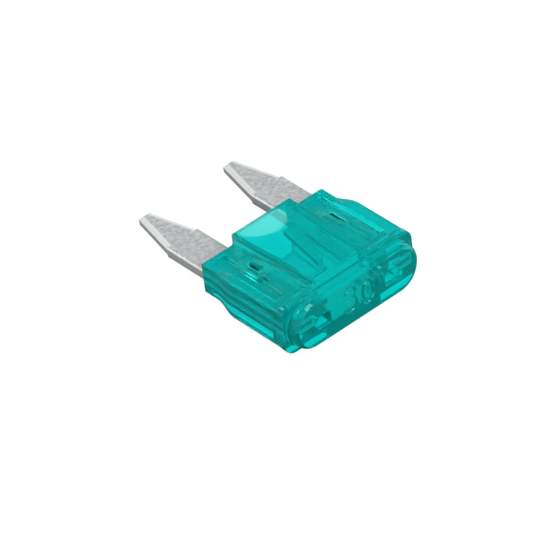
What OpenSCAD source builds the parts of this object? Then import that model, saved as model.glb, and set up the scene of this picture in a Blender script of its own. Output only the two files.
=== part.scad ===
// Automotive blade fuse, mini size: a translucent moulded housing staked onto one stamped metal element.
// It lies on its broad face. X is its width, +Y points along the blades, Z is its thickness.
// The origin is at the middle of its underside. Both broad faces are alike.

/* [Overall] */
// Length over the head and the blade tips
total_l = 16.3; // [15:0.1:18]
// Width over the head
head_w = 10.9; // [10.7:0.1:11.6]
// Thickness over the head and the window
head_t = 3.8; // [3.6:0.1:4.4]

/* [Housing] */
// Length of the moulded housing, from the head's face to the blade end
body_l = 8.9; // [8.2:0.1:9.5]
// Depth of the rounded front lobe of the head
lobe_l = 0.85; // [0.4:0.05:1]
// Width of the front lobe
lobe_w = 10.4; // [10.1:0.1:10.7]
// Thickness of the front lobe
lobe_t = 3.6; // [3.4:0.05:3.75]
// Chamfer round the face of the front lobe
lobe_edge = 0.25; // [0.1:0.05:0.35]
// Depth of the head wall behind the lobe, at full thickness
head_l = 0.55; // [0.3:0.05:0.8]
// Corner radius of the head wall
head_r = 0.8; // [0.6:0.1:1.4]
// Width of the body behind the head
body_w = 10.8; // [10.6:0.1:10.9]
// Thickness of the shoulders behind the head
shoulder_t = 2.8; // [2.6:0.05:3]
// Width of the body where the blades leave it
neck_w = 10.15; // [10.1:0.05:10.4]
// Thickness of the body where the blades leave it
neck_t = 2.2; // [1.9:0.05:2.3]
// Length of the narrow neck at the blade end
neck_l = 1.2; // [0.8:0.1:1.5]
// Length of the curve from the neck to the full body
swell_l = 1.9; // [1.2:0.1:2.4]

/* [Window] */
// Width of the raised window at the blade end
window_w = 4.95; // [4.6:0.05:5.2]
// Width of the raised window at the head
window_head_w = 4.4; // [4.2:0.1:4.8]
// Wall over the window's hollow
window_wall = 0.55; // [0.45:0.05:0.65]
// Wall beside the window's hollow
window_side = 0.45; // [0.35:0.05:0.6]
// Length of the hollow, from the blade end to its closed end
hollow_l = 6; // [5.7:0.1:6.6]

/* [Stake pockets] */
// Width of the full body's rim outside each pocket
rim_w = 0.78; // [0.7:0.02:0.9]
// Width of the border between the window and each pocket
border_w = 1; // [0.7:0.05:1.1]
// Plastic left between each pocket's floor and the blade
floor_t = 0.4; // [0.3:0.05:0.5]
// Gap from the blade end to each pocket
pocket_back = 0.5; // [0.3:0.1:1]
// Gap from the head wall to each pocket
pocket_front = 1; // [0.6:0.1:1.3]
// Radius of the inner corner of each pocket
pocket_r = 0.55; // [0.3:0.05:0.7]
// Distance from the blade end to the middle of each stake mark
stake_y = 2.9; // [2.6:0.1:3.4]
// Distance between the two stake marks of a face
stake_pitch = 6.8; // [6.6:0.1:7]
// Distance of each pair of stake marks from the middle of the fuse
stake_shift = 0.25; // [0:0.05:0.3]
// Length of each stake mark
stake_l = 1.3; // [1:0.1:1.5]
// Width of each stake mark
stake_w = 0.5; // [0.4:0.05:0.6]
// Width of the plastic pushed up round each stake mark
ring_w = 0.3; // [0.2:0.05:0.4]
// Height of that ring above the pocket's floor
ring_h = 0.15; // [0.05:0.05:0.2]

/* [Test openings] */
// Distance between the two test openings in the head's face
probe_pitch = 5.7; // [5.4:0.1:6]
// Width of each test opening
probe_w = 1.1; // [0.8:0.1:1.4]
// Height of each test opening
probe_h = 0.9; // [0.7:0.1:1]
// Thickness of the wall at the head's face
face_wall = 1.1; // [0.9:0.1:1.3]

/* [Fuse element] */
// Width of each blade
blade_w = 2.65; // [2.6:0.05:2.8]
// Thickness of the blades
blade_t = 0.8; // [0.7:0.05:0.85]
// Width over both blades
blade_span = 9.8; // [9.5:0.05:9.8]
// Chamfer along the straight edges of the blades
edge_break = 0.08; // [0.04:0.02:0.12]
// Length of each blade's taper
tip_l = 3.75; // [3:0.05:4.2]
// Width of each blade's flat tip
tip_w = 0.9; // [0.7:0.1:1.1]
// Step where each taper starts
tip_step = 0.03; // [0.02:0.01:0.1]
// Width of the bevel coined along each taper
coin_w = 0.4; // [0.2:0.02:0.45]
// Depth of that bevel in each face
coin_d = 0.18; // [0.1:0.02:0.24]
// Width of the bevel coined along each tip
tip_coin = 0.22; // [0.1:0.02:0.3]
// Thickness of the fusible link
link_t = 0.3; // [0.25:0.05:0.5]
// Width of the fusible link at its bend
link_w = 0.35; // [0.25:0.05:0.5]
// Width of each link leg where it leaves its blade
leg_w = 0.9; // [0.7:0.05:0.95]
// Length of the root by which each leg joins its blade
leg_l = 0.8; // [0.5:0.1:1]
// Distance from the blade end to the legs
link_back = 0.3; // [0.2:0.1:1]
// Distance from the blade end to the link's bend
link_reach = 5; // [4.6:0.1:5.4]
// Outer radius of the link's bend
link_r = 1.2; // [1:0.05:1.3]
// Gap between the element and the housing
fit_gap = 0.05; // [0.03:0.01:0.06]

/* [Hidden] */
$fn = 64;
over = 1;
mid_z = head_t / 2;
face_y = -total_l / 2;
tip_y = total_l / 2;
exit_y = face_y + body_l;
crease_y = face_y + lobe_l;
wall_y = crease_y + head_l;
inner_x = blade_span / 2 - blade_w;
blade_x = blade_span / 2 - blade_w / 2;
terminal_y = face_y + face_wall + fit_gap;
floor_z = blade_t / 2 + floor_t;
swell_steps = 14;
plastic = [0, 0.66, 0.62, 0.8];
metal = [0.72, 0.73, 0.74];

// Eased step from 0 to 1
function ease(t) = t * t * (3 - 2 * t);

// One edge of the body, from the blade end to the head, as it swells from one half size to another
function swell(from, to) = [
    for (i = [0 : swell_steps])
        let (t = i / swell_steps)
        [from + (to - from) * ease(t), exit_y - neck_l - swell_l * t]
];

// Outline that runs from the blade end into the head wall, the same on both sides of its middle line
module swell_outline(neck, full) {
    edge = concat([[neck / 2, exit_y]], swell(neck / 2, full / 2), [[full / 2, crease_y]]);
    polygon(concat(edge, [for (i = [len(edge) - 1 : -1 : 0]) [-edge[i][0], edge[i][1]]]));
}

// Body behind the head, with both shoulders: it swells in width and in thickness
module shoulders() {
    intersection() {
        linear_extrude(head_t) swell_outline(neck_w, body_w);
        translate([-head_w, 0, mid_z])
            rotate([0, 90, 0])
                linear_extrude(2 * head_w) swell_outline(neck_t, shoulder_t);
    }
}

// Outline of the raised window, drawn in by a wall on both sides and cut off at its back and front
module window_outline(side, y0, y1) {
    intersection() {
        polygon([
            [side - window_w / 2, exit_y], [window_w / 2 - side, exit_y],
            [window_head_w / 2 - side, crease_y], [side - window_head_w / 2, crease_y]
        ]);
        translate([-window_w, y0]) square([2 * window_w, y1 - y0]);
    }
}

// Raised window, flush with the head on both broad faces
module window() {
    linear_extrude(head_t) window_outline(0, crease_y, exit_y);
}

// Head wall at full width and thickness, with round corners
module head_wall() {
    w = head_w - 2 * head_r;
    h = head_t - 2 * head_r;
    translate([0, wall_y, mid_z])
        rotate([90, 0, 0])
            linear_extrude(head_l) {
                square([w, head_t], center = true);
                square([head_w, h], center = true);
                for (sx = [-1, 1], sz = [-1, 1])
                    translate([sx * w / 2, sz * h / 2]) circle(head_r);
            }
}

// Front lobe of the head: round ends, and a chamfer all round its face
module lobe() {
    r = lobe_t / 2;
    depth = lobe_l + head_l / 2;
    edge = [[r - lobe_edge, 0], [r, lobe_edge], [r, depth]];
    half = lobe_w / 2 - r;
    for (s = [-1, 1])
        translate([s * half, face_y, mid_z])
            rotate([-90, 0, 0])
                rotate_extrude() polygon(concat([[0, 0]], edge, [[0, depth]]));
    translate([0, face_y, mid_z])
        rotate([90, 0, 90])
            linear_extrude(2 * half, center = true)
                polygon(concat([for (p = edge) [p[1], p[0]]], [for (i = [2 : -1 : 0]) [edge[i][1], -edge[i][0]]]));
}

// Outline of the pocket in the right-hand shoulder
module pocket_outline() {
    x0 = window_w / 2 + border_w;
    x1 = body_w / 2 - rim_w;
    y0 = wall_y + pocket_front;
    y1 = exit_y - pocket_back;
    difference() {
        translate([x0, y0]) square([x1 - x0, y1 - y0]);
        translate([x0 - over, y0 - over]) square(over + pocket_r);
    }
    translate([x0 + pocket_r, y0 + pocket_r]) circle(pocket_r);
}

// Outline of the plastic pushed up round a stake mark
module ring_outline() {
    w = stake_w / 2 + ring_w;
    translate([-w, -stake_l / 2]) square([2 * w, stake_l]);
    for (s = [-1, 1]) translate([0, s * stake_l / 2]) circle(w);
}

// Both pockets of the upper face, each with a stake mark pressed through its floor to the blade
module pockets() {
    stakes = [stake_shift - stake_pitch / 2, stake_shift + stake_pitch / 2];
    difference() {
        translate([0, 0, mid_z + floor_z])
            linear_extrude(over) {
                pocket_outline();
                mirror([1, 0]) pocket_outline();
            }
        for (x = stakes)
            translate([x, exit_y - stake_y, mid_z])
                linear_extrude(floor_z + ring_h) ring_outline();
    }
    for (x = stakes)
        translate([x - stake_w / 2, exit_y - stake_y - stake_l / 2, mid_z + blade_t / 2])
            cube([stake_w, stake_l, over]);
}

// Room for the element, open at the blade end: a slot for each terminal, one for the link, and the hollow
module hollow() {
    slot_w = blade_w + 2 * fit_gap;
    slot_t = blade_t + 2 * fit_gap;
    slot_y = terminal_y - fit_gap;
    for (s = [-1, 1])
        translate([s * blade_x - slot_w / 2, slot_y, mid_z - slot_t / 2])
            cube([slot_w, exit_y - slot_y + over, slot_t]);
    hollow_y = exit_y - hollow_l;
    translate([0, 0, window_wall])
        linear_extrude(head_t - 2 * window_wall)
            window_outline(window_side, hollow_y, exit_y + over);
    link_room = link_t + 4 * fit_gap;
    translate([-inner_x, hollow_y, mid_z - link_room / 2])
        cube([2 * inner_x, hollow_l + over, link_room]);
}

// The moulded housing
module housing() {
    color(plastic)
        difference() {
            union() {
                shoulders();
                window();
                head_wall();
                lobe();
            }
            hollow();
            pockets();
            translate([0, 0, head_t]) mirror([0, 0, 1]) pockets();
            for (s = [-1, 1])
                translate([s * probe_pitch / 2, face_y, mid_z])
                    cube([probe_w, 2 * (face_wall + over), probe_h], center = true);
        }
}

// Bevel cut in the upper face, along the edge from a to b that has the blade on its left
module bevel(a, b, w, lead) {
    run = b - a;
    translate([a[0], a[1], blade_t / 2])
        rotate([90, 0, atan2(run[1], run[0]) + 90])
            translate([0, 0, -lead])
                linear_extrude(lead + norm(run) + over)
                    polygon([[2 * w, coin_d], [-w, -2 * coin_d], [-w, coin_d]]);
}

// Cross-section of a blade, with a chamfer on each edge
module blade_section() {
    w = blade_w / 2;
    t = blade_t / 2;
    e = edge_break;
    polygon([[e - w, t], [w - e, t], [w, t - e], [w, e - t], [w - e, -t], [e - w, -t], [-w, e - t], [-w, t - e]]);
}

// One blade with its terminal: a flat bar with a tapered tip, coined thinner along the taper
module blade() {
    side = blade_w / 2;
    taper_y = tip_y - tip_l;
    start = [side - tip_step, taper_y];
    corner = [tip_w / 2, tip_y];
    difference() {
        intersection() {
            translate([0, tip_y, 0])
                rotate([90, 0, 0])
                    linear_extrude(tip_y - terminal_y) blade_section();
            linear_extrude(2 * blade_t, center = true)
                polygon([[-side, terminal_y], [side, terminal_y], [side, taper_y], start, corner,
                    [-corner[0], corner[1]], [-start[0], start[1]], [-side, taper_y]]);
        }
        for (f = [0, 1])
            mirror([0, 0, f]) {
                for (s = [0, 1]) mirror([s, 0, 0]) bevel(start, corner, coin_w, 0);
                bevel(corner, [-corner[0], corner[1]], tip_coin, over);
            }
    }
}

// Fusible link: a leg from each blade narrows towards the head, and the legs join in a round bend
module link() {
    back_y = exit_y - link_back;
    root_y = back_y - leg_l;
    bend_y = exit_y - link_reach + link_r;
    leg_x = inner_x - leg_w;
    bend_x = link_r - link_w;
    linear_extrude(link_t, center = true)
        difference() {
            union() {
                polygon([[-blade_x, back_y], [-blade_x, root_y], [-inner_x, root_y], [-link_r, bend_y],
                    [link_r, bend_y], [inner_x, root_y], [blade_x, root_y], [blade_x, back_y]]);
                translate([0, bend_y]) circle(link_r);
            }
            polygon([[-leg_x, back_y + over], [-leg_x, back_y], [-bend_x, bend_y],
                [bend_x, bend_y], [leg_x, back_y], [leg_x, back_y + over]]);
            translate([0, bend_y]) circle(bend_x);
        }
}

// The stamped element: two blades joined by the link
module fuse_element() {
    color(metal)
        translate([0, 0, mid_z]) {
            for (s = [-1, 1]) translate([s * blade_x, 0, 0]) blade();
            link();
        }
}

housing();
fuse_element();
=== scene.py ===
"""Automotive blade fuse: a clear teal moulded housing staked to a stamped zinc element, flat on white card."""

import math

import bmesh
import bpy
import numpy as np
from mathutils import Matrix, Vector


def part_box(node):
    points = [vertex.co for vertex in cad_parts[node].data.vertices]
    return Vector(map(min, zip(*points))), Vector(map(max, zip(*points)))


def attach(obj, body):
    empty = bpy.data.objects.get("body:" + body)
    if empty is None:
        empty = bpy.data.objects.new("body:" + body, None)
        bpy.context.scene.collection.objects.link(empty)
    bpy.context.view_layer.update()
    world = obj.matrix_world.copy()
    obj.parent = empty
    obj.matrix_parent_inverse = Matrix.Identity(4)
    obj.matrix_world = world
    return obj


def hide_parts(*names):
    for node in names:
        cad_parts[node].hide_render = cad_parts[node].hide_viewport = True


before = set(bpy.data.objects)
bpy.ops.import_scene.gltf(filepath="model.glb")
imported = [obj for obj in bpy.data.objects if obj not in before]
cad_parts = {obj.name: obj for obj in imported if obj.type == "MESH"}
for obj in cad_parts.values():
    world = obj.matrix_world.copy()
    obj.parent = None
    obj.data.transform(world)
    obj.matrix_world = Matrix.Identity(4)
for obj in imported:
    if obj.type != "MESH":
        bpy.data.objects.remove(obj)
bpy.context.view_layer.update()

MM = 0.001
HOUSING_LOW, HOUSING_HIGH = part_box("housing")
ELEMENT_LOW, ELEMENT_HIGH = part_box("fuse_element")

# From here on, sizes and places are in millimetres, in the frame's axes, and angles are in degrees

# The fuse's middle plane, its upper face, and the housing's end where the blades leave it
MID_Z = (HOUSING_LOW[2] + HOUSING_HIGH[2]) / 2 / MM
TOP_Z = HOUSING_HIGH[2] / MM
BLADES_FROM = HOUSING_HIGH[1] / MM

# The view of the photograph: its angles, its distance and scale, the spot it aims at with a shift to the
# right and up in the picture, the frame's width, the sensor's width and the camera's clipping
AZIMUTH = -37.1
ELEVATION = 38.3
ROLL = -7.5
DISTANCE = 338.3
PIXELS_PER_MM = 15.978
AIM = (0.0, -2.0, MID_Z)
AIM_RIGHT = -0.962
AIM_UP = -1.226
FRAME_PIXELS = 554
SENSOR = 36.0
CLIP_NEAR = 10.0
CLIP_FAR = 10000.0

# The stake marks: their middles, as in the solid, and half the width and length that each painted colour
# covers: painted shade in a pit, a painted highlight on its ring, and painted shade on the strip under it
STAKE_SHIFT = 0.25
STAKE_PITCH = 6.8
STAKES_X = (STAKE_SHIFT - STAKE_PITCH / 2, STAKE_SHIFT + STAKE_PITCH / 2)
STAKE_Y = -2.15
PIT_HALF = (0.28, 0.68)
RING_HALF = (0.6, 1.25)
STRIP_PIT_HALF = (0.3, 0.7)

# Heights from the middle plane between which a pit's painted shade lies, and a ring's painted highlight,
# which ends above the top
PIT_HEIGHTS = (0.38, 0.93)
RING_HEIGHTS = (0.86, 2.0)

# The bead round each stake mark: the radius of its round ends, half the length of its straight sides, its
# own radius, the share of that by which it stands up, the heights between which the pockets' floors lie,
# and how many points make an end and a side
BEAD_TURN = 0.42
BEAD_STRAIGHT = 0.65
BEAD_RADIUS = 0.13
BEAD_SHARE = 0.4
FLOOR_HEIGHTS = (0.75, 1.2)
END_POINTS = 24
SIDE_POINTS = 12

# The hollow under the window: where it starts to be drawn out, its end in the solid and its end here, half
# the width and thickness inside which all of its walls lie, and the slack past its end
HOLLOW_FROM = -3.2
HOLLOW_CAD_END = -5.25
HOLLOW_END = -6.35
HOLLOW_HALF_W = 2.15
HOLLOW_HALF_T = 1.37
HOLLOW_SLACK = 0.15

# The rating figures: their groove's radius, how near the head's face a point counts as on it, and their
# strokes. A stroke is an elliptic arc: its middle in x and z, its half width and half height, the angles at
# its start and end, and how many points make it
FIGURE_RADIUS = 0.15
FACE_SLACK = 0.02
FIGURE_STROKES = (
    ((-0.68, 2.58), (0.42, 0.36), (155, -80), 60),
    ((-0.68, 1.78), (0.48, 0.44), (80, -155), 70),
    ((0.76, 1.95), (0.46, 0.76), (0, 360), 120),
)

# The moulded skin: how near points are joined, its cell, the rounds of smoothing, the share by which a
# round draws the points in and pushes them back, and the share of its triangles that is kept
SKIN_JOIN = 0.002
SKIN_CELL = 0.055
SKIN_ROUNDS = 3
DRAW_IN = 0.5
PUSH_BACK = -0.53
SKIN_KEEP = 0.5

# The stamped strip: how near points are joined, the angle up to which faces are flat, and its rounded edges
STRIP_JOIN = 0.012
STRIP_FLAT = 0.5
BEVEL_WIDTH = 0.03
BEVEL_SEGMENTS = 3
BEVEL_ANGLE = 28

# The window's face: half its width, how far under the top it still counts, the spot where its crown is
# level, the slope that the crown gains per mm from there, and the whole face's slope across and along
WINDOW_HALF_W = 2.42
WINDOW_DEPTH = 0.1
CROWN_SPOT = (-0.3, 0.8, TOP_Z)
CROWN = 0.012
SLOPE_X = 0.044
SLOPE_Y = 0.055

# The metal: its mottles, its grain and the grain's height, and half the thickness of the bands of colour on
# the blades' cut edges, with their painted shade and painted highlight, and of the painted shade on the link's
MOTTLE = 0.24
GRAIN = 0.09
GRAIN_HEIGHT = 0.012
BLADE_EDGE_HALF = 0.375
LINK_EDGE_HALF = 0.135

# The floor: half its side, its height, the spot that the fuse shades, the distances from it over which the
# shade fades, and the distances from the origin over which glossy rays start to see the floor white
FLOOR_HALF = 400
FLOOR_Z = -0.01
SHADE_SPOT = (0.5, 3.0, 0.0)
SHADE_FADE = (2, 6)
GLOSS_FADE = (10, 60)

# Strengths of light, where 1 is white: the floor, its shade, the studio for diffuse rays, and its ceiling
# for glossy rays
FLOOR_GLOW = 0.9
SHADE_GLOW = 0.55
STUDIO = 0.8
CEILING = 0.12

# How steeply a direction points up, from 0 to 1, where the studio's wall starts to dim and where its
# ceiling starts
WALL_TOP = (0.05, 0.35)

# The middle of the fuse, which the lamps aim at, and how far off the lamps of the window's glint are
LAMP_AIM = (0, 0, 2)
GLINT_DISTANCE = 150

# Colours as they are seen, sRGB hex
TEAL = "#00EEEA"
# Painted shade in the stake pits, and a painted highlight on the rings round them
TEAL_PIT_SHADE = "#044A47"
TEAL_RING_HIGHLIGHT = "#30FFF8"
TEAL_SHEEN = "#78C8C0"
TEAL_DEPTH = "#00ECEA"
ZINC = "#E6E9EA"
ZINC_DARK = "#BFC2C4"
# Painted shade: the link's cut sides, near black
LINK_EDGE_SHADE = "#1E2222"
# Painted shade on the strip under each stake pit, where the strip has no hole
STRIP_PIT_SHADE = "#39403F"
PAPER_WHITE = "#FFFFFF"
CARD_GREY = "#B0B0B0"
# Painted shade: the darker grey that glossy rays see on the card close to the fuse
CARD_IN_GLOSS = "#484848"
CARD_FAINT = "#7C7C7C"

# The bands of a stamped edge, from the strip's lower face (0) to its upper one (1): a dark lower corner that
# is painted shade, the smooth shear, the dark line where it ends, and a bright upper corner that is a painted
# highlight
EDGE_BANDS = ((0.05, "#5A5D5E"), (0.13, "#BABDBF"), (0.68, "#D6D9DA"),
              (0.71, "#3E4142"), (0.75, "#F4F6F6"), (1.0, "#FFFFFF"))

# How strongly the plastic takes up light, per metre
TEAL_DENSITY = 890.0

# A Mix node's sockets have the same names for numbers and for colours, so their numbers are named here
NUMBER_A, NUMBER_B, COLOUR_A, COLOUR_B = 2, 3, 6, 7


def linear(hex_colour):
    """sRGB hex to a linear RGBA colour."""
    channels = [int(hex_colour[i:i + 2], 16) / 255 for i in (1, 3, 5)]
    return [c / 12.92 if c <= 0.04045 else ((c + 0.055) / 1.055) ** 2.4 for c in channels] + [1.0]


def node(tree, kind, inputs=(), **settings):
    """One shader node with its settings. inputs maps a socket's name or number to a value, to another
    socket, or to another node, whose first output in use is linked."""
    made = tree.nodes.new(kind)
    for name, value in settings.items():
        setattr(made, name, value)
    for name, value in dict(inputs).items():
        if isinstance(value, bpy.types.Node):
            value = next(output for output in value.outputs if output.enabled)
        if isinstance(value, bpy.types.NodeSocket):
            tree.links.new(value, made.inputs[name])
        else:
            made.inputs[name].default_value = value
    return made


def new_material(name):
    """An empty node material and its node tree."""
    material = bpy.data.materials.new(name)
    material.use_nodes = True
    material.node_tree.nodes.clear()
    return material, material.node_tree


def placed(name, data):
    """A new object at the origin, in the scene."""
    made = bpy.data.objects.new(name, data)
    bpy.context.scene.collection.objects.link(made)
    return made


def towards_camera():
    """The unit vector from the fuse to the camera."""
    azimuth, elevation = math.radians(AZIMUTH), math.radians(ELEVATION)
    level = math.cos(elevation)
    return Vector((math.sin(azimuth) * level, -math.cos(azimuth) * level, math.sin(elevation)))


def camera():
    """The camera at the photograph's angle, aimed so that its lens needs no shift."""
    back = towards_camera()
    level_right = (-back).cross(Vector((0, 0, 1))).normalized()
    level_up = level_right.cross(-back)
    roll = math.radians(ROLL)
    right = math.cos(roll) * level_right + math.sin(roll) * level_up
    up = -math.sin(roll) * level_right + math.cos(roll) * level_up
    spot = Vector(AIM) + AIM_RIGHT * right + AIM_UP * up + DISTANCE * back
    data = bpy.data.cameras.new("camera")
    data.sensor_width = SENSOR
    data.lens = PIXELS_PER_MM * DISTANCE * SENSOR / FRAME_PIXELS
    data.clip_start = CLIP_NEAR * MM
    data.clip_end = CLIP_FAR * MM
    made = placed("camera", data)
    made.matrix_world = Matrix.Translation(spot * MM) @ Matrix((right, up, back)).transposed().to_4x4()
    bpy.context.scene.camera = made


def in_stakes(tree, part, half):
    """1 at the stake marks as seen from above or below, and 0 elsewhere. part is the place's X, Y and Z."""
    across = 0.0
    for x in STAKES_X:
        near = node(tree, "ShaderNodeMath", {0: part["X"], 1: x * MM, 2: half[0] * MM}, operation="COMPARE")
        across = node(tree, "ShaderNodeMath", {0: near, 1: across}, operation="ADD")
    along = node(tree, "ShaderNodeMath", {0: part["Y"], 1: STAKE_Y * MM, 2: half[1] * MM}, operation="COMPARE")
    return node(tree, "ShaderNodeMath", {0: across, 1: along}, operation="MULTIPLY")


def near_middle(tree, part, height):
    """1 within a height of the fuse's middle plane, on both sides of it, and 0 beyond."""
    return node(tree, "ShaderNodeMath", {0: part["Z"], 1: MID_Z * MM, 2: height * MM}, operation="COMPARE")


def window_bump(tree, place, part):
    """The window's face, moulded a touch out of flat, as such thin walls are: a shallow crown on a slope.
    At a level distance d from the crown's spot its height is slope . d less half the crown's gain times
    d . d."""
    spot = [-CROWN_SPOT[0] * MM, -CROWN_SPOT[1] * MM, 0.0]
    level = node(tree, "ShaderNodeVectorMath", {0: place, 1: (1.0, 1.0, 0.0), 2: spot},
                 operation="MULTIPLY_ADD")
    square = node(tree, "ShaderNodeVectorMath", {0: level, 1: level}, operation="DOT_PRODUCT")
    slope = node(tree, "ShaderNodeVectorMath", {0: level, 1: (SLOPE_X, SLOPE_Y, 0.0)},
                 operation="DOT_PRODUCT")
    height = node(tree, "ShaderNodeMath", {0: square, 1: -0.5 * CROWN / MM, 2: slope},
                  operation="MULTIPLY_ADD")
    inside = node(tree, "ShaderNodeMath", {0: part["X"], 1: 0.0, 2: WINDOW_HALF_W * MM}, operation="COMPARE")
    top = node(tree, "ShaderNodeMath", {0: part["Z"], 1: (TOP_Z - WINDOW_DEPTH) * MM},
               operation="GREATER_THAN")
    face = node(tree, "ShaderNodeMath", {0: inside, 1: top}, operation="MULTIPLY")
    window = node(tree, "ShaderNodeMath", {0: height, 1: face}, operation="MULTIPLY")
    return node(tree, "ShaderNodeBump", {"Strength": 1.0, "Distance": 1.0, "Height": window})


def clear_plastic():
    """Polycarbonate, injection moulded: teal, slightly hazy, tinted a little more where it is thick. The
    stake pits are painted darker, as painted shade in them, and the rings round them paler, as a painted
    highlight on the beads."""
    material, tree = new_material("teal_polycarbonate_moulded")
    place = node(tree, "ShaderNodeTexCoord").outputs["Object"]
    part = node(tree, "ShaderNodeSeparateXYZ", {"Vector": place}).outputs
    tone = linear(TEAL)
    # Painted colour at the stake marks: a painted highlight on each ring and painted shade in each pit
    for half, (inner, outer), colour in ((RING_HALF, RING_HEIGHTS, TEAL_RING_HIGHLIGHT),
                                         (PIT_HALF, PIT_HEIGHTS, TEAL_PIT_SHADE)):
        height = node(tree, "ShaderNodeMath", {
            0: near_middle(tree, part, outer), 1: near_middle(tree, part, inner)}, operation="SUBTRACT")
        mark = node(tree, "ShaderNodeMath", {0: in_stakes(tree, part, half), 1: height}, operation="MULTIPLY")
        tone = node(tree, "ShaderNodeMix", {"Factor": mark, COLOUR_A: tone, COLOUR_B: linear(colour)},
                    data_type="RGBA")
    surface = node(tree, "ShaderNodeBsdfPrincipled", {
        "Base Color": tone, "Roughness": 0.035, "IOR": 1.585, "Transmission Weight": 0.8,
        "Specular Tint": linear(TEAL_SHEEN), "Normal": window_bump(tree, place, part)})
    depth = node(tree, "ShaderNodeVolumeAbsorption", {"Color": linear(TEAL_DEPTH), "Density": TEAL_DENSITY})
    node(tree, "ShaderNodeOutputMaterial", {"Surface": surface, "Volume": depth})
    return material


def cut_edge(tree, part):
    """The colour of a blade's stamped edge, by its height in the strip, with painted shade at its lower
    corner and a painted highlight at its upper one.
    """
    height = node(tree, "ShaderNodeMapRange", {
        "Value": part["Z"], "From Min": ELEMENT_LOW[2], "From Max": ELEMENT_HIGH[2]})
    bands = node(tree, "ShaderNodeValToRGB", {"Fac": height})
    marks = bands.color_ramp.elements
    for mark, (position, colour) in zip(marks, (EDGE_BANDS[0], EDGE_BANDS[-1])):
        mark.position = position
        mark.color = linear(colour)
    for position, colour in EDGE_BANDS[1:-1]:
        marks.new(position).color = linear(colour)
    return bands


def zinc():
    """Zinc alloy strip, rolled and stamped: a dull light grey under a thin oxide film, mottled from the
    rolls, with bands on the blades' cut edges whose dark lower corner is painted shade and whose bright
    upper corner is a painted highlight. The link's cut sides are painted near black, and the strip under
    each stake pit is painted dark, as painted shade that reads through the tinted plastic."""
    material, tree = new_material("zinc_strip_stamped")
    place = node(tree, "ShaderNodeTexCoord").outputs["Object"]
    part = node(tree, "ShaderNodeSeparateXYZ", {"Vector": place}).outputs
    mottle = node(tree, "ShaderNodeTexNoise", {
        "Vector": place, "Scale": 1 / (MOTTLE * MM), "Detail": 4.0, "Roughness": 0.65})
    blotch = node(tree, "ShaderNodeMapRange", {"Value": mottle, "From Min": 0.36, "From Max": 0.64})
    tone = node(tree, "ShaderNodeMix", {"Factor": blotch, COLOUR_A: linear(ZINC_DARK), COLOUR_B: linear(ZINC)},
                data_type="RGBA")
    # The blades' cut edges get their bands, with painted shade and a painted highlight, and the link's cut
    # sides get painted shade, near black
    for operation, half, colour in (("GREATER_THAN", BLADE_EDGE_HALF, cut_edge(tree, part)),
                                    ("LESS_THAN", LINK_EDGE_HALF, linear(LINK_EDGE_SHADE))):
        lengthwise = node(tree, "ShaderNodeMath", {0: part["Y"], 1: BLADES_FROM * MM}, operation=operation)
        edge = node(tree, "ShaderNodeMath", {0: lengthwise, 1: near_middle(tree, part, half)},
                    operation="MULTIPLY")
        tone = node(tree, "ShaderNodeMix", {"Factor": edge, COLOUR_A: tone, COLOUR_B: colour}, data_type="RGBA")
    # Painted shade on the strip under each stake pit
    pit_shade = in_stakes(tree, part, STRIP_PIT_HALF)
    tone = node(tree, "ShaderNodeMix", {"Factor": pit_shade, COLOUR_A: tone, COLOUR_B: linear(STRIP_PIT_SHADE)},
                data_type="RGBA")
    grain = node(tree, "ShaderNodeTexNoise", {"Vector": place, "Scale": 1 / (GRAIN * MM), "Detail": 3.0})
    bump = node(tree, "ShaderNodeBump", {"Strength": 0.5, "Distance": GRAIN_HEIGHT * MM, "Height": grain})
    surface = node(tree, "ShaderNodeBsdfPrincipled", {
        "Base Color": tone, "Metallic": 0.45, "Roughness": 0.45, "Normal": bump})
    node(tree, "ShaderNodeOutputMaterial", {"Surface": surface})
    return material


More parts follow.
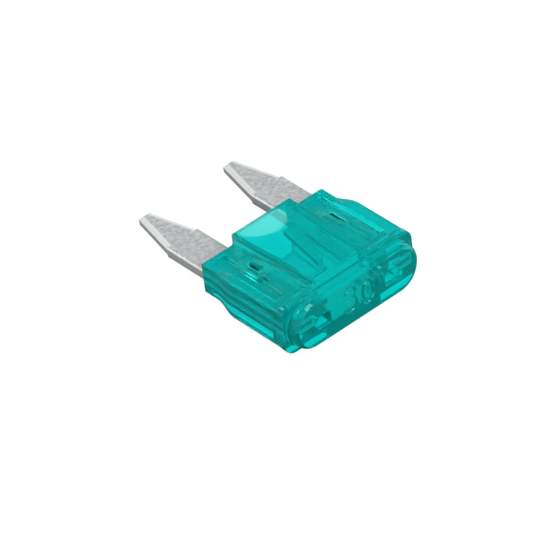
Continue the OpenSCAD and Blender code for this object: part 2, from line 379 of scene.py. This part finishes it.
def white_card():
    """Matt card. The camera and transmission rays see it lit to white under a faint shadow, and
    transmission rays see it darker close to the fuse, which is the fuse's own shade. Glossy rays see it
    white only far away, and close by see card in a darker grey, painted shade for the fuse's shadow in
    reflections, and all other rays see plain grey card."""
    material, tree = new_material("white_card")
    rays = node(tree, "ShaderNodeLightPath").outputs
    place = node(tree, "ShaderNodeTexCoord").outputs["Object"]
    grey = node(tree, "ShaderNodeMix", {
        "Factor": rays["Is Glossy Ray"], COLOUR_A: linear(CARD_GREY), COLOUR_B: linear(CARD_IN_GLOSS)},
        data_type="RGBA")
    card = node(tree, "ShaderNodeBsdfDiffuse", {"Color": grey})
    from_spot = node(tree, "ShaderNodeVectorMath", {0: place, 1: [c * MM for c in SHADE_SPOT]},
                     operation="DISTANCE")
    shade = node(tree, "ShaderNodeMapRange", {
        "Value": from_spot, "From Min": SHADE_FADE[0] * MM, "From Max": SHADE_FADE[1] * MM,
        "To Min": SHADE_GLOW, "To Max": FLOOR_GLOW})
    strength = node(tree, "ShaderNodeMix", {
        "Factor": rays["Is Transmission Ray"], NUMBER_A: FLOOR_GLOW, NUMBER_B: shade})
    glow = node(tree, "ShaderNodeEmission", {"Color": linear(PAPER_WHITE), "Strength": strength})
    faint = node(tree, "ShaderNodeBsdfDiffuse", {"Color": linear(CARD_FAINT)})
    white = node(tree, "ShaderNodeAddShader", {0: faint, 1: glow})
    reach = node(tree, "ShaderNodeVectorMath", {0: place}, operation="LENGTH")
    far = node(tree, "ShaderNodeMapRange", {
        "Value": reach, "From Min": GLOSS_FADE[0] * MM, "From Max": GLOSS_FADE[1] * MM})
    in_gloss = node(tree, "ShaderNodeMath", {0: rays["Is Glossy Ray"], 1: far}, operation="MULTIPLY")
    straight = node(tree, "ShaderNodeMath", {0: rays["Is Camera Ray"], 1: rays["Is Transmission Ray"]},
                    operation="MAXIMUM")
    seen = node(tree, "ShaderNodeMath", {0: straight, 1: in_gloss}, operation="MAXIMUM")
    mix = node(tree, "ShaderNodeMixShader", {0: seen, 1: card, 2: white})
    node(tree, "ShaderNodeOutputMaterial", {"Surface": mix})
    return material


def white_floor():
    """A square of white card just under the fuse, so that no two faces coincide."""
    half, z = FLOOR_HALF * MM, FLOOR_Z * MM
    mesh = bpy.data.meshes.new("floor")
    corners = [(-half, -half, z), (half, -half, z), (half, half, z), (-half, half, z)]
    mesh.from_pydata(corners, [], [(0, 1, 2, 3)])
    floor = placed("floor", mesh)
    mesh.materials.append(white_card())


def studio():
    """A plain studio: white to the camera and to transmission rays, a little dimmer to diffuse rays, and to
    glossy rays white low down and dim overhead."""
    world = bpy.data.worlds.new("studio")
    bpy.context.scene.world = world
    world.use_nodes = True
    tree = world.node_tree
    tree.nodes.clear()
    rays = node(tree, "ShaderNodeLightPath").outputs
    direction = node(tree, "ShaderNodeTexCoord").outputs["Generated"]
    steepness = node(tree, "ShaderNodeSeparateXYZ", {"Vector": direction}).outputs["Z"]
    ceiling = node(tree, "ShaderNodeMapRange", {
        "Value": steepness, "From Min": WALL_TOP[0], "From Max": WALL_TOP[1], "To Min": 1.0, "To Max": CEILING})
    soft = node(tree, "ShaderNodeMix", {"Factor": rays["Is Glossy Ray"], NUMBER_A: STUDIO, NUMBER_B: ceiling})
    straight = node(tree, "ShaderNodeMath", {0: rays["Is Camera Ray"], 1: rays["Is Transmission Ray"]},
                    operation="MAXIMUM")
    strength = node(tree, "ShaderNodeMix", {"Factor": straight, NUMBER_A: soft, NUMBER_B: 1.0})
    sky = node(tree, "ShaderNodeBackground", {"Color": linear(PAPER_WHITE), "Strength": strength})
    node(tree, "ShaderNodeOutputWorld", {"Surface": sky})


def area_lamp(name, spot, aim, size, watts, shape="SQUARE"):
    """A soft box at one place, turned to another."""
    data = bpy.data.lights.new(name, "AREA")
    data.shape = shape
    data.size = size * MM
    data.energy = watts
    spot, aim = Vector(spot) * MM, Vector(aim) * MM
    turn = (aim - spot).to_track_quat("-Z", "Y").to_matrix().to_4x4()
    placed(name, data).matrix_world = Matrix.Translation(spot) @ turn


def window_glint():
    """Two small round lamps where the window's sloped face mirrors the camera's view, for its soft-edged
    glare. With n the face's normal and v the way to the camera, they stand on the way 2 (n . v) n - v."""
    normal = Vector((-SLOPE_X, -SLOPE_Y, 1)).normalized()
    view = towards_camera()
    spot = Vector(CROWN_SPOT) + GLINT_DISTANCE * (2 * normal.dot(view) * normal - view)
    area_lamp("window_glint", spot=spot, aim=CROWN_SPOT, size=14, watts=0.0018, shape="DISK")
    area_lamp("window_glint_core", spot=spot, aim=CROWN_SPOT, size=8, watts=0.0006, shape="DISK")


def merged_mesh(source, name, join, flat=0):
    """A copy of a CAD node's mesh with near points joined and, up to the angle flat, whole faces."""
    mesh = source.data.copy()
    mesh.name = name
    bm = bmesh.new()
    bm.from_mesh(mesh)
    bmesh.ops.remove_doubles(bm, verts=bm.verts, dist=join * MM)
    if flat:
        bmesh.ops.dissolve_limit(bm, angle_limit=math.radians(flat), verts=bm.verts, edges=bm.edges)
    bm.to_mesh(mesh)
    bm.free()
    return mesh


def after_modifier(mesh, kind, **settings):
    """The mesh as one modifier leaves it, as a new mesh."""
    carrier = placed("carrier", mesh)
    modifier = carrier.modifiers.new("once", kind)
    for name, value in settings.items():
        setattr(modifier, name, value)
    made = bpy.data.meshes.new_from_object(carrier.evaluated_get(bpy.context.evaluated_depsgraph_get()))
    bpy.data.objects.remove(carrier)
    return made


def stamped_copy(source, name):
    """A copy of a CAD node as stamping leaves it: whole flat faces, and edges rounded by a bevel."""
    mesh = merged_mesh(source, name, STRIP_JOIN, STRIP_FLAT)
    mesh.polygons.foreach_set("use_smooth", np.zeros(len(mesh.polygons), dtype=bool))
    piece = placed(name, mesh)
    bevel = piece.modifiers.new("bevel", "BEVEL")
    bevel.width = BEVEL_WIDTH * MM
    bevel.segments = BEVEL_SEGMENTS
    bevel.limit_method = "ANGLE"
    bevel.angle_limit = math.radians(BEVEL_ANGLE)
    bevel.use_clamp_overlap = False
    return piece


def smoothed(points, edges):
    """Points drawn to the mean of their neighbours and pushed back by a little more, so edges round and
    faces stay. A move is a share of (mean of neighbours - point), and no point leaves the housing's box."""
    count = np.bincount(edges.ravel(), minlength=len(points))[:, None]
    for share in (DRAW_IN, PUSH_BACK) * SKIN_ROUNDS:
        total = np.zeros_like(points)
        np.add.at(total, edges[:, 0], points[edges[:, 1]])
        np.add.at(total, edges[:, 1], points[edges[:, 0]])
        points = points + share * (total / count - points)
    return np.clip(points, np.array(HOUSING_LOW), np.array(HOUSING_HIGH))


def arc(x, y, half_x, half_y, start, end, steps):
    """Points along an ellipse's arc: its middle plus its half sizes times each angle's cosine and sine."""
    angle = np.radians(np.linspace(start, end, steps))
    return np.stack([x + half_x * np.cos(angle), y + half_y * np.sin(angle)], 1)


def groove(flat_points, path, radius):
    """Depth of a round groove along a path: at a distance d from it, the root of radius^2 - d^2."""
    apart = np.min(np.linalg.norm(flat_points[:, None] - path[None], axis=2), axis=1)
    return np.sqrt(np.maximum(radius ** 2 - apart ** 2, 0))


def figures_cut(points):
    """The plain rating figures sunk in the head's face: a 3 of two joined arcs, and a 0 that is an ellipse."""
    face = np.flatnonzero(points[:, 1] < HOUSING_LOW[1] + FACE_SLACK * MM)
    path = np.vstack([arc(*middle, *half, *angles, count) for middle, half, angles, count in FIGURE_STROKES])
    points[face, 1] += groove(points[face][:, [0, 2]] / MM, path, FIGURE_RADIUS) * MM
    return points


def slot_outline(x, y):
    """Points along a slot's outline: two half circles and the two straight sides between them."""
    ends = [arc(x, y + s * BEAD_STRAIGHT, BEAD_TURN, BEAD_TURN, 90 - s * 90, 270 - s * 90, END_POINTS)
            for s in (1, -1)]
    side = np.linspace(y - BEAD_STRAIGHT, y + BEAD_STRAIGHT, SIDE_POINTS)
    sides = [np.stack([np.full(SIDE_POINTS, x + s * BEAD_TURN), side], 1) for s in (-1, 1)]
    return np.vstack(ends + sides)


def stake_beads(points):
    """The plastic pushed up round each stake mark: a round bead along a slot's outline, on the pocket's
    floor. It stands up by a share of a groove's depth."""
    reach_x = BEAD_TURN + BEAD_RADIUS
    reach_y = BEAD_STRAIGHT + reach_x
    x, y, z = (points / MM).T
    height = z - MID_Z
    on_floor = (np.abs(height) > FLOOR_HEIGHTS[0]) & (np.abs(height) < FLOOR_HEIGHTS[1])
    for stake_x in STAKES_X:
        near = np.flatnonzero(on_floor & (np.abs(x - stake_x) < reach_x) & (np.abs(y - STAKE_Y) < reach_y))
        bead = groove(points[near, :2] / MM, slot_outline(stake_x, STAKE_Y), BEAD_RADIUS)
        points[near, 2] += np.sign(height[near]) * BEAD_SHARE * bead * MM
    return points


def hollow_drawn(points):
    """The hollow under the window drawn out towards the head: past HOLLOW_FROM the y of its walls is
    stretched in one ratio, so that its end comes from HOLLOW_CAD_END to HOLLOW_END."""
    x, y, z = (points / MM).T
    walls = (np.abs(x) < HOLLOW_HALF_W) & (np.abs(z - MID_Z) < HOLLOW_HALF_T)
    walls &= (y < HOLLOW_FROM) & (y > HOLLOW_CAD_END - HOLLOW_SLACK)
    ratio = (HOLLOW_END - HOLLOW_FROM) / (HOLLOW_CAD_END - HOLLOW_FROM)
    points[walls, 1] = (HOLLOW_FROM + (y[walls] - HOLLOW_FROM) * ratio) * MM
    return points


def moulded_copy(source, name):
    """A copy of a CAD node as moulding and staking leave it: one even skin with soft edges and corners, the
    figures sunk in, beads round the stake marks and the hollow drawn out."""
    closed = merged_mesh(source, name + "_closed", SKIN_JOIN)
    skin = after_modifier(closed, "REMESH", mode="VOXEL", voxel_size=SKIN_CELL * MM)
    points = np.empty(len(skin.vertices) * 3)
    skin.vertices.foreach_get("co", points)
    edges = np.empty(len(skin.edges) * 2, dtype=np.int64)
    skin.edges.foreach_get("vertices", edges)
    points = smoothed(points.reshape(-1, 3), edges.reshape(-1, 2))
    points = hollow_drawn(stake_beads(figures_cut(points)))
    skin.vertices.foreach_set("co", points.ravel())
    skin.update()
    thinned = after_modifier(skin, "DECIMATE", ratio=SKIN_KEEP)
    thinned.name = name
    thinned.polygons.foreach_set("use_smooth", np.ones(len(thinned.polygons), dtype=bool))
    return placed(name, thinned)


camera()
white_floor()
studio()
area_lamp("key", spot=(10, -105, 85), aim=LAMP_AIM, size=60, watts=0.09)
area_lamp("edge", spot=(-75, 95, 90), aim=LAMP_AIM, size=40, watts=0.03)
window_glint()

housing = moulded_copy(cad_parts["housing"], "housing_moulding")
housing.data.materials.clear()
housing.data.materials.append(clear_plastic())
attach(housing, "root")
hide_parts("housing")

element = stamped_copy(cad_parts["fuse_element"], "stamped_element")
element.data.materials.clear()
element.data.materials.append(zinc())
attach(element, "root")
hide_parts("fuse_element")

bpy.context.scene.view_settings.view_transform = "Standard"
